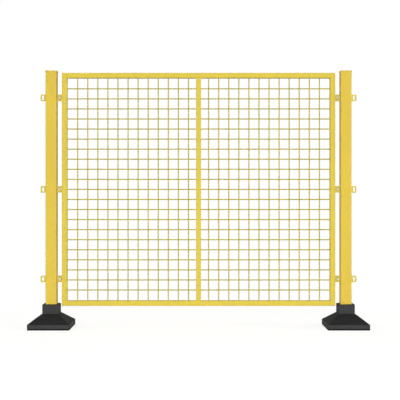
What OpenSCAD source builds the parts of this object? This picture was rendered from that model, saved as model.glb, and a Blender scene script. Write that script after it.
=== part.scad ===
// One bay of a wire mesh partition: two square posts in moulded bases, with a framed
// welded mesh panel bolted between them. Millimetres, +Z up. The bay stands on z = 0 and is
// centred on the origin, its length runs along X and its front faces -Y.

/* [Mesh] */
// Mesh openings across the panel, an even number so that a wire lies behind the centre bar
cells_wide = 26; // [12:2:36]
// Mesh openings up the panel
cells_high = 22; // [12:1:30]
// Distance between the centres of neighbouring wires
mesh_pitch = 55; // [45:1:65]
// Distance from the frame to the middle of the nearest wire
edge_cell = 57; // [40:1:60]
// Diameter of the mesh wire
wire_d = 6; // [3:0.5:7]

/* [Panel frame] */
// Width of the frame tube, seen from the front
frame_face = 28; // [22:1:36]
// Depth of the frame tube, front to back
frame_depth = 40; // [34:1:50]
// Wall of the frame tube and of the centre bar
frame_wall = 2; // [1.5:0.5:2.5]
// Outer corner radius of the frame tube and of the centre bar
frame_corner_r = 3; // [2.6:0.1:4]
// Width of the centre bar, seen from the front
bar_face = 27; // [20:1:36]
// Height of the panel's lower edge above the floor
panel_rise = 118; // [110:1:160]

/* [Posts] */
// Side of the square post
post_side = 60; // [50:1:70]
// Wall of the post
post_wall = 2.5; // [2:0.5:4]
// Outer corner radius of the post
post_corner_r = 4.5; // [4.2:0.1:6]
// Gap between a post and the panel
post_gap = 27.5; // [26:0.5:40]
// Height of a post's upper end above the panel
post_above_panel = 5; // [0:1:60]

/* [Post caps] */
// Thickness of the cap above the post
cap_t = 8; // [6:0.5:14]
// How far the cap stands out past the post on each side
cap_overhang = 2; // [0.5:0.5:5]
// Chamfer round the top of the cap
cap_chamfer = 2; // [1:0.5:4]
// Depth of the cap's plug inside the post
plug_depth = 20; // [12:1:40]
// Wall of the plug
plug_wall = 3; // [2:0.5:5]
// Clearance between the plug and the inside of the post
plug_play = 0.3; // [0.2:0.1:0.8]

/* [Ears] */
// Height of an ear
ear_h = 36; // [32:1:50]
// Thickness of an ear
ear_t = 4; // [3:0.5:6]
// Radius of an ear's two free corners
ear_corner_r = 5; // [2:0.5:8]
// Length of an outer ear
outer_ear_len = 30; // [28:0.5:40]
// Distance from the post to the slot in an outer ear
outer_slot_offset = 16.5; // [14:0.5:18]
// Gap between an inner ear's tip and the tube that it points at
ear_tip_gap = 1.5; // [1:0.5:3]
// Width of a slot
slot_w = 10; // [9:0.5:12]
// Length of an upright slot, end to end
slot_len = 24; // [20:0.5:26]
// Length of a level slot in the panel's ears, end to end
level_slot_len = 18; // [12:0.5:20]
// Distance from the panel's upper edge down to the upper ears
ear_drop = 135; // [80:1:200]
// Distance from the panel's lower edge up to the lower ears
ear_rise = 146; // [80:1:200]

/* [Bolts] */
// Diameter of a bolt
bolt_d = 8; // [6:1:8]
// Length of a bolt under its head
bolt_len = 20; // [18:1:24]
// Width across the flats of a bolt head and nut
hex_af = 13; // [12:0.5:14]
// Height of a bolt head
head_h = 5.3; // [4:0.1:7]
// Height of a nut
nut_h = 6.5; // [5:0.1:8]
// Chamfer on the corners of a bolt head and nut
hex_chamfer = 1; // [0.5:0.25:1.5]
// Diameter of a washer
washer_d = 16; // [15:0.5:18]
// Thickness of a washer
washer_t = 1.6; // [1:0.1:2]
// Clearance on the diameter between a bolt and a washer
washer_play = 0.4; // [0.2:0.1:1]
// Clearance on the diameter between a bolt and its nut
thread_play = 0.1; // [0.05:0.05:0.3]

/* [Bases] */
// Length of a base along the partition
base_x = 226; // [180:1:300]
// Depth of a base, front to back
base_y = 290; // [220:1:400]
// Corner radius of a base, seen from above
base_corner_r = 8; // [4:1:20]
// Thickness of the rubber pad under a base
pad_t = 8; // [4:0.5:12]
// Height of the upright skirt above the pad
skirt_h = 23; // [14:1:40]
// Chamfer along the top of the skirt
skirt_chamfer = 2; // [1:0.5:4]
// Height of the sloping part above the skirt
slope_h = 48; // [30:1:70]
// Height of the collar above the slope
collar_h = 49.5; // [30:0.5:80]
// Wall of the collar on the sides that face along the partition
collar_wall_x = 14; // [8:0.5:20]
// Wall of the collar at the front and the rear
collar_wall_y = 21; // [8:0.5:30]
// Corner radius of the collar
collar_corner_r = 7; // [3:0.5:10]
// Chamfer round the top of the collar
collar_chamfer = 1.5; // [0.5:0.5:3]
// Clearance between a post and its socket, on each side
socket_play = 1; // [0.5:0.5:2]
// Thickness of the moulding under the socket
socket_floor = 10; // [6:1:20]

/* [Hidden] */

// Colours of the coated steel, the zinc, the moulding and the rubber
coat = "#e8bf2e";
wire_coat = "#d6b32c";
zinc = "#c9ccd0";
moulding = "#2b2b2b";
pad_rubber = "#191919";

// A side is -1 on the left and 1 on the right
LEFT = -1;
RIGHT = 1;

// Fineness of rounded corners, wires and bored holes
corner_fn = 32;
wire_fn = 24;
hole_fn = 48;
// How far a cutting shape runs past the face that it cuts
cut = 1;

// The mesh and the frame round it
inside_w = (cells_wide - 2) * mesh_pitch + 2 * edge_cell;
inside_h = (cells_high - 2) * mesh_pitch + 2 * edge_cell;
panel_w = inside_w + 2 * frame_face;
panel_h = inside_h + 2 * frame_face;
panel_top = panel_rise + panel_h;
panel_mid = panel_rise + panel_h / 2;
wire_y = wire_d / 2;
bar_depth = frame_depth / 2 - wire_d;

// The posts and the sockets that they stand in
socket_z = pad_t + socket_floor;
post_top = panel_top + post_above_panel;
post_len = post_top - socket_z;
post_x = panel_w / 2 + post_gap + post_side / 2;
post_inside = post_side - 2 * post_wall;
socket_side = post_side + 2 * socket_play;
collar_x = socket_side + 2 * collar_wall_x;
collar_y = socket_side + 2 * collar_wall_y;
skirt_top = pad_t + skirt_h;
slope_top = skirt_top + slope_h;
collar_top = slope_top + collar_h;

// The ears and their bolts
inner_ear_len = post_gap - ear_tip_gap;
inner_slot_offset = post_gap / 2;
ear_heights = [panel_rise + ear_rise, panel_mid, panel_top - ear_drop];
bolt_x = panel_w / 2 + post_gap / 2;
front_washer_y = -ear_t - washer_t;

// ---- Shapes that are used more than once ----

// A rectangle with round corners, centred on the origin
module round_rect(w, d, r) {
    square([w - 2 * r, d], center = true);
    square([w, d - 2 * r], center = true);
    for (x = [-1, 1], y = [-1, 1])
        translate([x * (w / 2 - r), y * (d / 2 - r)]) circle(r, $fn = corner_fn);
}

// The section of a square or rectangular tube
module tube_section(w, d, wall, r) {
    difference() {
        round_rect(w, d, r);
        round_rect(w - 2 * wall, d - 2 * wall, r - wall);
    }
}

// A block with round upright corners and a chamfer round its top
module chamfered_block(w, d, h, r, chamfer) {
    linear_extrude(h - chamfer) round_rect(w, d, r);
    hull() {
        translate([0, 0, h - chamfer - cut]) linear_extrude(cut) round_rect(w, d, r);
        translate([0, 0, h - cut])
            linear_extrude(cut) round_rect(w - 2 * chamfer, d - 2 * chamfer, r - chamfer / 2);
    }
}

// A frame tube along X, its outer edge at z = 0, with a mitre at each end
module mitred_tube(length) {
    intersection() {
        translate([-length / 2, 0, -frame_face / 2]) rotate([90, 0, 90])
            linear_extrude(length)
                tube_section(frame_depth, frame_face, frame_wall, frame_corner_r);
        translate([0, frame_depth / 2 + cut, 0]) rotate([90, 0, 0])
            linear_extrude(frame_depth + 2 * cut)
                polygon([
                    [-length / 2, 0],
                    [length / 2, 0],
                    [length / 2 - frame_face, -frame_face],
                    [-length / 2 + frame_face, -frame_face]
                ]);
    }
}

// An ear that grows along +X from its weld at x = 0, behind the plane y = -ear_t, with its slot
// upright or level
module ear_plate(length, slot_offset, level = false) {
    slot_reach = ((level ? level_slot_len : slot_len) - slot_w) / 2;
    difference() {
        rotate([90, 0, 0]) linear_extrude(ear_t) {
            translate([0, -ear_h / 2]) square([length - ear_corner_r, ear_h]);
            translate([0, -ear_h / 2 + ear_corner_r]) square([length, ear_h - 2 * ear_corner_r]);
            for (z = [-1, 1])
                translate([length - ear_corner_r, z * (ear_h / 2 - ear_corner_r)])
                    circle(ear_corner_r, $fn = corner_fn);
        }
        translate([slot_offset, 0, 0]) rotate([0, level ? 90 : 0, 0]) {
            for (z = [-1, 1])
                translate([0, cut, z * slot_reach]) rotate([90, 0, 0])
                    cylinder(d = slot_w, h = ear_t + 2 * cut, $fn = hole_fn);
            translate([-slot_w / 2, -ear_t - cut, -slot_reach])
                cube([slot_w, ear_t + 2 * cut, 2 * slot_reach]);
        }
    }
}

// A hexagonal prism along -Y from y = 0, with its far corners turned off
module hex_block(height) {
    corner_r = hex_af / 2 / cos(30);
    rotate([90, 0, 0]) intersection() {
        cylinder(r = corner_r, h = height, $fn = 6);
        rotate_extrude($fn = hole_fn)
            polygon([
                [0, 0],
                [corner_r, 0],
                [corner_r, height - hex_chamfer],
                [hex_af / 2 - hex_chamfer / 2, height],
                [0, height]
            ]);
    }
}

// Places its children at each of a side's three bolts
module at_bolts(side) {
    for (z = ear_heights) translate([side * bolt_x, 0, z]) children();
}

// ---- Bases ----

module base(side) {
    color(moulding) translate([side * post_x, 0, 0]) difference() {
        union() {
            hull() {
                translate([0, 0, pad_t]) linear_extrude(skirt_h - skirt_chamfer)
                    round_rect(base_x, base_y, base_corner_r);
                translate([0, 0, pad_t]) linear_extrude(skirt_h)
                    round_rect(base_x - 2 * skirt_chamfer, base_y - 2 * skirt_chamfer, base_corner_r);
                translate([0, 0, slope_top - cut]) linear_extrude(cut)
                    round_rect(collar_x, collar_y, collar_corner_r);
            }
            translate([0, 0, skirt_top])
                chamfered_block(collar_x, collar_y, slope_h + collar_h,
                                collar_corner_r, collar_chamfer);
        }
        translate([-socket_side / 2, -socket_side / 2, socket_z])
            cube([socket_side, socket_side, collar_top - socket_z + cut]);
    }
}

module foot_pad(side) {
    color(pad_rubber) translate([side * post_x, 0, 0])
        linear_extrude(pad_t) round_rect(base_x, base_y, base_corner_r);
}

// ---- Posts ----

module post(side) {
    color(coat) translate([side * post_x, 0, socket_z])
        linear_extrude(post_len) tube_section(post_side, post_side, post_wall, post_corner_r);
}

module post_cap(side) {
    cap_side = post_side + 2 * cap_overhang;
    plug_side = post_inside - 2 * plug_play;
    plug_r = post_corner_r - post_wall;
    color(coat) translate([side * post_x, 0, post_top]) {
        chamfered_block(cap_side, cap_side, cap_t, post_corner_r, cap_chamfer);
        translate([0, 0, -plug_depth]) linear_extrude(plug_depth) difference() {
            round_rect(plug_side, plug_side, plug_r);
            square(plug_side - 2 * plug_wall, center = true);
        }
    }
}

module outer_ears(side) {
    color(coat) for (z = ear_heights)
        translate([side * (post_x + post_side / 2), 0, z])
            mirror([side < 0 ? 1 : 0, 0, 0]) ear_plate(outer_ear_len, outer_slot_offset);
}

module inner_ears(side) {
    color(coat) for (z = ear_heights)
        translate([side * (post_x - post_side / 2), 0, z])
            mirror([side > 0 ? 1 : 0, 0, 0]) ear_plate(inner_ear_len, inner_slot_offset);
}

// ---- Panel ----

module stile(side) {
    color(coat) translate([side * panel_w / 2, 0, panel_mid])
        rotate([0, side * 90, 0]) mitred_tube(panel_h);
}

module rail_top() {
    color(coat) translate([0, 0, panel_top]) mitred_tube(panel_w);
}

module rail_bottom() {
    color(coat) translate([0, 0, panel_rise]) rotate([0, 180, 0]) mitred_tube(panel_w);
}

// The centre bar stands in front of the mesh, flush with the frame's front
module centre_bar() {
    color(coat) translate([0, -frame_depth / 2 + bar_depth / 2, panel_rise + frame_face])
        linear_extrude(inside_h) tube_section(bar_face, bar_depth, frame_wall, frame_corner_r);
}

module upright_wires() {
    color(wire_coat) for (i = [1 - cells_wide / 2 : cells_wide / 2 - 1])
        translate([i * mesh_pitch, -wire_y, panel_rise + frame_face])
            cylinder(d = wire_d, h = inside_h, $fn = wire_fn);
}

module cross_wires() {
    color(wire_coat) for (i = [1 : cells_high - 1])
        translate([-inside_w / 2, wire_y, panel_mid + (i - cells_high / 2) * mesh_pitch])
            rotate([0, 90, 0]) cylinder(d = wire_d, h = inside_w, $fn = wire_fn);
}

module panel_ears(side) {
    color(coat) for (z = ear_heights)
        translate([side * panel_w / 2, ear_t, z])
            mirror([side < 0 ? 1 : 0, 0, 0])
                ear_plate(inner_ear_len, inner_slot_offset, level = true);
}

// ---- Bolts, washers and nuts ----

module bolts(side) {
    color(zinc) at_bolts(side) translate([0, front_washer_y, 0]) {
        hex_block(head_h);
        rotate([-90, 0, 0]) cylinder(d = bolt_d, h = bolt_len, $fn = hole_fn);
    }
}

module washers(side) {
    color(zinc) at_bolts(side) for (y = [front_washer_y, ear_t])
        translate([0, y, 0]) rotate([-90, 0, 0]) difference() {
            cylinder(d = washer_d, h = washer_t, $fn = hole_fn);
            translate([0, 0, -cut])
                cylinder(d = bolt_d + washer_play, h = washer_t + 2 * cut, $fn = hole_fn);
        }
}

module nuts(side) {
    color(zinc) at_bolts(side) translate([0, ear_t + washer_t, 0]) difference() {
        mirror([0, 1, 0]) hex_block(nut_h);
        translate([0, -cut, 0]) rotate([-90, 0, 0])
            cylinder(d = bolt_d + thread_play, h = nut_h + 2 * cut, $fn = hole_fn);
    }
}

base(LEFT);  // base_left
base(RIGHT);  // base_right
foot_pad(LEFT);  // foot_pad_left
foot_pad(RIGHT);  // foot_pad_right
post(LEFT);  // post_left
post(RIGHT);  // post_right
post_cap(LEFT);  // post_cap_left
post_cap(RIGHT);  // post_cap_right
outer_ears(LEFT);  // outer_ears_left
outer_ears(RIGHT);  // outer_ears_right
inner_ears(LEFT);  // inner_ears_left
inner_ears(RIGHT);  // inner_ears_right
stile(LEFT);  // stile_left
stile(RIGHT);  // stile_right
rail_top();
rail_bottom();
centre_bar();
upright_wires();
cross_wires();
panel_ears(LEFT);  // panel_ears_left
panel_ears(RIGHT);  // panel_ears_right
bolts(LEFT);  // bolts_left
bolts(RIGHT);  // bolts_right
washers(LEFT);  // washers_left
washers(RIGHT);  // washers_right
nuts(LEFT);  // nuts_left
nuts(RIGHT);  // nuts_right
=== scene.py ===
"""Looks of one bay of a wire mesh partition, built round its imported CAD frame.

Metres, +Z up. The bay's length runs along X, its front faces -Y and it stands on z = 0. Every
piece is modelled where it belongs, so each finished object sits at the origin.
"""

from __future__ import annotations

import logging
import math
from contextlib import contextmanager
from dataclasses import dataclass, field
from enum import Enum
from functools import cache
from itertools import pairwise
from typing import Callable, Iterator, Sequence

import bmesh
import bpy
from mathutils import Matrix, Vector


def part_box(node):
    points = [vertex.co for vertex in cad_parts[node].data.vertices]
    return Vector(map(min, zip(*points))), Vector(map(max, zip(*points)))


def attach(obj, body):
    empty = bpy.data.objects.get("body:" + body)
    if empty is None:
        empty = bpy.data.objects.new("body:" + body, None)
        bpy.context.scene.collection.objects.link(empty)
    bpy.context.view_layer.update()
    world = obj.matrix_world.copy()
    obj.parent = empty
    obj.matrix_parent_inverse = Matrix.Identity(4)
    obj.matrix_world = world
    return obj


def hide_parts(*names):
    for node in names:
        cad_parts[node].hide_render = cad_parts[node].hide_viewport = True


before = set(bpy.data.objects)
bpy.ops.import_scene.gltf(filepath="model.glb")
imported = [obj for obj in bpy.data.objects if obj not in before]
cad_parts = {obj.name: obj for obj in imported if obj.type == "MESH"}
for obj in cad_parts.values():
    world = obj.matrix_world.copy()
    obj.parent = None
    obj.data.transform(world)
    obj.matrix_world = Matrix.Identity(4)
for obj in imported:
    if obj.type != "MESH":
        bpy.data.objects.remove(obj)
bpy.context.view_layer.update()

MM = 0.001
QUARTER_TURN = math.pi / 2
SMOOTH_ANGLE = math.radians(32)
MERGE_GAP = 0.001 * MM
CORNER_STEPS = 6
ROUND_PROFILE = 0.5
HEX_SIDES = 6
WHITE = (1.0, 1.0, 1.0, 1.0)
MIX_SHARE, MIX_UNDER, MIX_OVER, MIXED = 0, 6, 7, 2  # colour sockets of a mix node
WATTS_PER_LEVEL = math.pi ** 2  # of an area lamp one metre away, for a white surface seen as 1

Piece = bpy.types.Object
Node = bpy.types.Node
Socket = bpy.types.NodeSocket
Sockets = bpy.types.bpy_prop_collection
Tree = bpy.types.NodeTree
Setting = float | int | str | bool | tuple[float, ...]
Feed = Setting | Socket
Colour = tuple[float, float, float]

log = logging.getLogger("partition")


# ---- Names for choices ----


class Body(Enum):
    """The bodies that pieces ride on."""

    BASE_LEFT = "base_left"
    FENCE = "fence"
    BASE_RIGHT = "base_right"


class Axis(Enum):
    """A world axis, with the turn that lays a flat outline square to it."""

    X = 0
    Y = 1
    Z = 2

    @property
    def turn(self) -> tuple[float, float, float]:
        """Rotation of a flat primitive that faces along this axis."""
        turns = {Axis.X: (0, QUARTER_TURN, 0), Axis.Y: (QUARTER_TURN, 0, 0), Axis.Z: (0, 0, 0)}
        return turns[self]

    def vector(self, length: float) -> Vector:
        """A vector of this length along the axis."""
        return Vector([length if i == self.value else 0.0 for i in range(3)])


# ---- Places taken from the frame ----


@dataclass(frozen=True)
class Box:
    """The lowest and the highest corner of a piece."""

    low: Vector
    high: Vector

    @property
    def centre(self) -> Vector:
        """The middle of the box."""
        return (self.low + self.high) / 2

    @property
    def size(self) -> Vector:
        """Width, depth and height."""
        return self.high - self.low


@cache
def cad_box(node: str) -> Box:
    """The box of a CAD node at rest."""
    return Box(*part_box(node))


# ---- Modelling by hand ----


def activate(obj: Piece) -> None:
    """Makes an object the one that is selected and active.

    Args:
        obj: The object.
    """
    bpy.ops.object.select_all(action="DESELECT")
    obj.select_set(True)
    bpy.context.view_layer.objects.active = obj


def new_object(add: Callable[..., set[str]], **settings: object) -> Piece:
    """Adds an object with nothing else selected.

    Args:
        add: Blender's operator for its kind.
        settings: The operator's settings by name.

    Returns:
        The new object.
    """
    bpy.ops.object.select_all(action="DESELECT")
    add(**settings)
    return bpy.context.active_object


@contextmanager
def editing(obj: Piece) -> Iterator[None]:
    """Opens an object in edit mode, with vertices as the things to select.

    Args:
        obj: The object.

    Yields:
        Nothing, while it is open.
    """
    activate(obj)
    bpy.ops.object.mode_set(mode="EDIT")
    bpy.ops.mesh.select_mode(type="VERT")
    try:
        yield
    finally:
        bpy.ops.object.mode_set(mode="OBJECT")


def pick_vertices(obj: Piece, wanted: Callable[[bmesh.types.BMVert], bool]) -> None:
    """Selects the vertices in view that a test wants, and nothing else.

    Args:
        obj: The object in edit mode.
        wanted: The test, by a vertex's place.
    """
    mesh = bmesh.from_edit_mesh(obj.data)
    for vertex in mesh.verts:
        vertex.select = not vertex.hide and wanted(vertex)
    mesh.select_flush_mode()
    mesh.select_flush(True)
    bmesh.update_edit_mesh(obj.data)


def places_in_view(obj: Piece) -> set[tuple[float, ...]]:
    """The places of the vertices that aren't hidden in edit mode."""
    return {tuple(v.co) for v in bmesh.from_edit_mesh(obj.data).verts if not v.hide}


def face_outwards(merge: bool) -> None:
    """Turns all faces of the mesh in edit mode outwards.

    Args:
        merge: Whether vertices that lie in one place are merged first.
    """
    bpy.ops.mesh.select_all(action="SELECT")
    if merge:
        bpy.ops.mesh.remove_doubles(threshold=MERGE_GAP)
    bpy.ops.mesh.normals_make_consistent(inside=False)


def draw_out(obj: Piece, middle: Vector, advance: float, share: float) -> Vector:
    """Extrudes a ring of the mesh in edit mode along Y, and resizes the new ring.

    Args:
        obj: The object in edit mode.
        middle: Middle of the ring.
        advance: How far it is drawn out along Y.
        share: Size of the new ring, as a share of the old one's.

    Returns:
        Middle of the new ring.
    """
    pick_vertices(obj, lambda v: abs(v.co.y - middle.y) < MERGE_GAP)
    bpy.ops.mesh.extrude_region_move(TRANSFORM_OT_translate={"value": Axis.Y.vector(advance)})
    end = middle.copy()
    end.y += advance
    bpy.ops.transform.resize(value=(share, 1, share), center_override=end)
    return end


def settle(obj: Piece) -> Piece:
    """Puts an object's place, turn and size into its mesh.

    Args:
        obj: The object.

    Returns:
        The same object.
    """
    activate(obj)
    bpy.ops.object.transform_apply(location=True, rotation=True, scale=True)
    return obj


def finish_with(obj: Piece, kind: str, **settings: object) -> None:
    """Adds a modifier, sets it and applies it.

    Args:
        obj: The object that gets it.
        kind: Blender's name for the modifier.
        settings: Its values by name.
    """
    activate(obj)
    modifier = obj.modifiers.new(kind.title(), kind)
    for name, value in settings.items():
        setattr(modifier, name, value)
    bpy.ops.object.modifier_apply(modifier=modifier.name)


def repeat(obj: Piece, count: int, step: Vector) -> None:
    """Repeats the mesh in a row of count copies, each a step from the last."""
    finish_with(obj, "ARRAY", count=count, use_relative_offset=False, use_constant_offset=True,
                constant_offset_displace=step)


def shade(obj: Piece) -> None:
    """Shades gentle edges smooth, and keeps wide flat faces flat.

    Args:
        obj: The object.
    """
    activate(obj)
    bpy.ops.object.shade_smooth_by_angle(angle=SMOOTH_ANGLE)
    finish_with(obj, "WEIGHTED_NORMAL", keep_sharp=True, weight=100)


def soften(obj: Piece, width: float, steps: int = 2) -> None:
    """Rounds the sharp edges to this width, in so many steps, and shades the skin smooth."""
    finish_with(obj, "BEVEL", width=width, segments=steps, limit_method="ANGLE",
                angle_limit=SMOOTH_ANGLE, use_clamp_overlap=True, loop_slide=True)
    shade(obj)


def copy_of(obj: Piece) -> Piece:
    """Copies an object with a mesh of its own.

    Args:
        obj: The object to copy.

    Returns:
        The copy, in the same place.
    """
    activate(obj)
    bpy.ops.object.duplicate(linked=False)
    return bpy.context.active_object


def mirror_of(obj: Piece, axis: Axis = Axis.X, plane: float = 0.0) -> Piece:
    """Copies an object to the other side of a plane.

    Args:
        obj: The object to copy.
        axis: The axis square to the plane.
        plane: Where the plane cuts the axis.

    Returns:
        The mirrored copy, with its faces turned outwards again.
    """
    copied = copy_of(obj)
    copied.scale[axis.value] = -1
    copied.location = axis.vector(2 * plane)
    settle(copied)
    with editing(copied):
        face_outwards(merge=True)
    return copied


def join(parts: Sequence[Piece]) -> Piece:
    """Joins several objects into one.

    Args:
        parts: The objects, of which the first one stays.

    Returns:
        The joined object.
    """
    activate(parts[0])
    for part in parts:
        part.select_set(True)
    if len(parts) > 1:
        bpy.ops.object.join()
    return parts[0]


def stack(lowest: Piece, heights: Sequence[float]) -> Piece:
    """Copies a piece to other heights and joins the copies to it.

    Args:
        lowest: The piece, which is at the first height.
        heights: All heights from the lowest up.

    Returns:
        The joined object.
    """
    made = [lowest]
    for height in heights[1:]:
        copied = copy_of(lowest)
        copied.location.z = height - heights[0]
        made.append(settle(copied))
    return join(made)


def carve(obj: Piece, cutter: Piece, operation: str) -> None:
    """Cuts an object with another one, by a kind of boolean, and removes the cutter."""
    finish_with(obj, "BOOLEAN", object=cutter, operation=operation, solver="EXACT")
    bpy.data.objects.remove(cutter)


@dataclass(frozen=True)
class Outline:
    """A rectangle with round corners that a loft passes through.

    Where it has a far_radius, that is the radius of the corners on its high X side.
    """

    centre: Vector
    size: Vector
    radius: float
    far_radius: float | None = None

    @classmethod
    def square(cls, centre: Vector, side: float, radius: float) -> Outline:
        """An outline with equal sides."""
        return cls(centre, Vector((side,) * 3), radius)

    def shrunk(self, by: float, radius: float) -> Outline:
        """The outline that lies inside this one, at this distance and with this radius."""
        return Outline(self.centre, self.size - Vector((2 * by,) * 3), radius)

    def draw(self, obj: Piece, axis: Axis, place: float) -> None:
        """Draws the outline as a closed row of edges in the mesh that is open in edit mode.

        Args:
            obj: The object in edit mode.
            axis: The axis square to the outline.
            place: Where the outline lies along the axis.
        """
        centre = self.centre.copy()
        centre[axis.value] = place
        present = places_in_view(obj)
        bpy.ops.mesh.select_all(action="DESELECT")
        bpy.ops.mesh.primitive_plane_add(size=1, location=centre, rotation=axis.turn)
        bpy.ops.transform.resize(value=self.size, center_override=centre)
        bpy.ops.mesh.delete(type="ONLY_FACE")
        corners = places_in_view(obj) - present
        sides = [(self.radius, lambda x: self.far_radius is None or x < centre.x)]
        if self.far_radius is not None:
            sides.append((self.far_radius, lambda x: x > centre.x))
        for radius, beside in sides:
            pick_vertices(obj, lambda v: tuple(v.co) in corners and beside(v.co.x))
            bpy.ops.mesh.bevel(offset=radius, segments=CORNER_STEPS, profile=ROUND_PROFILE,
                               affect="VERTICES")


def loft(axis: Axis, rings: Sequence[tuple[Outline, float]], closed: bool = False) -> Piece:
    """Bridges a row of outlines into one skin.

    Args:
        axis: The axis square to the outlines.
        rings: The outlines in the order in which the skin passes them, each with its place
            along the axis.
        closed: Whether the last one is bridged to the first, as round the wall of a tube. If
            it isn't, both end outlines are filled.

    Returns:
        The new object.
    """
    obj = new_object(bpy.ops.mesh.primitive_plane_add, location=(0, 0, 0))
    skins = list(pairwise(rings))
    skins += [(rings[-1], rings[0])] if closed else [(rings[0],), (rings[-1],)]
    with editing(obj):
        bpy.ops.mesh.select_all(action="SELECT")
        bpy.ops.mesh.delete(type="VERT")
        for skin in skins:
            for outline, place in skin:
                outline.draw(obj, axis, place)
            bpy.ops.mesh.select_all(action="SELECT")
            if len(skin) > 1:
                bpy.ops.mesh.bridge_edge_loops()
            else:
                bpy.ops.mesh.edge_face_add()
            bpy.ops.mesh.select_all(action="SELECT")
            bpy.ops.mesh.hide()
        bpy.ops.mesh.reveal(select=True)
        face_outwards(merge=True)
    return obj


def tube(box: Box, along: Axis, wall: float, radius: float) -> Piece:
    """Models a square or rectangular tube with square ends.

    Args:
        box: The space that the tube fills.
        along: The axis that it runs along.
        wall: Wall of the tube.
        radius: Outer corner radius.

    Returns:
        The new object.
    """
    outer = Outline(box.centre, box.size, radius)
    inner = outer.shrunk(wall, radius - wall)
    start, end = box.low[along.value], box.high[along.value]
    rings = [(outer, start), (outer, end), (inner, end), (inner, start)]
    return loft(along, rings, closed=True)


def cut_mitre(obj: Piece, corner: Vector, away: Vector) -> None:
    """Cuts a tube's end on a slant and closes its wall there.

    Args:
        obj: The tube.
        corner: A point on the cut.
        away: The way towards what is cut off, square to the cut.
    """
    with editing(obj):
        bpy.ops.mesh.select_all(action="SELECT")
        bpy.ops.mesh.bisect(plane_co=corner, plane_no=away, clear_outer=True)
        bpy.ops.mesh.select_all(action="DESELECT")
        bpy.ops.mesh.select_non_manifold()
        bpy.ops.mesh.bridge_edge_loops()
        face_outwards(merge=False)


def rod(start: Vector, length: float, along: Axis, radius: float, sides: int) -> Piece:
    """Models a round rod.

    Args:
        start: Middle of the end that it grows from.
        length: Its length along the axis.
        along: The axis that it runs along.
        radius: Its radius.
        sides: Faces round it.

    Returns:
        The new object.
    """
    return settle(new_object(
        bpy.ops.mesh.primitive_cylinder_add, vertices=sides, radius=radius, depth=length,
        location=start + along.vector(length / 2), rotation=along.turn,
    ))


def blob(centre: Vector, radii: Vector, facets: tuple[int, int]) -> Piece:
    """Models a drop of weld metal, a squashed ball that its neighbours partly hide.

    Args:
        centre: Its middle.
        radii: Its radii along X, Y and Z.
        facets: Faces round it and from pole to pole.

    Returns:
        The new object.
    """
    return settle(new_object(
        bpy.ops.mesh.primitive_uv_sphere_add, segments=facets[0], ring_count=facets[1],
        radius=1, location=centre, scale=radii,
    ))


def bead(start: Vector, end: Vector, radii: Vector, pitch: float = 1.6 * MM,
         facets: tuple[int, int] = (10, 6)) -> Piece:
    """Models a weld bead as a row of drops that run into each other.

    Args:
        start: Middle of the first drop.
        end: Middle of the last drop.
        radii: Radii of a drop along X, Y and Z.
        pitch: Distance from drop to drop, about.
        facets: Faces round a drop and from pole to pole.

    Returns:
        The new object.
    """
    steps = max(1, round((end - start).length / pitch))
    drops = blob(start, radii, facets)
    repeat(drops, steps + 1, (end - start) / steps)
    shade(drops)
    return drops


# ---- Nodes ----


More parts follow.
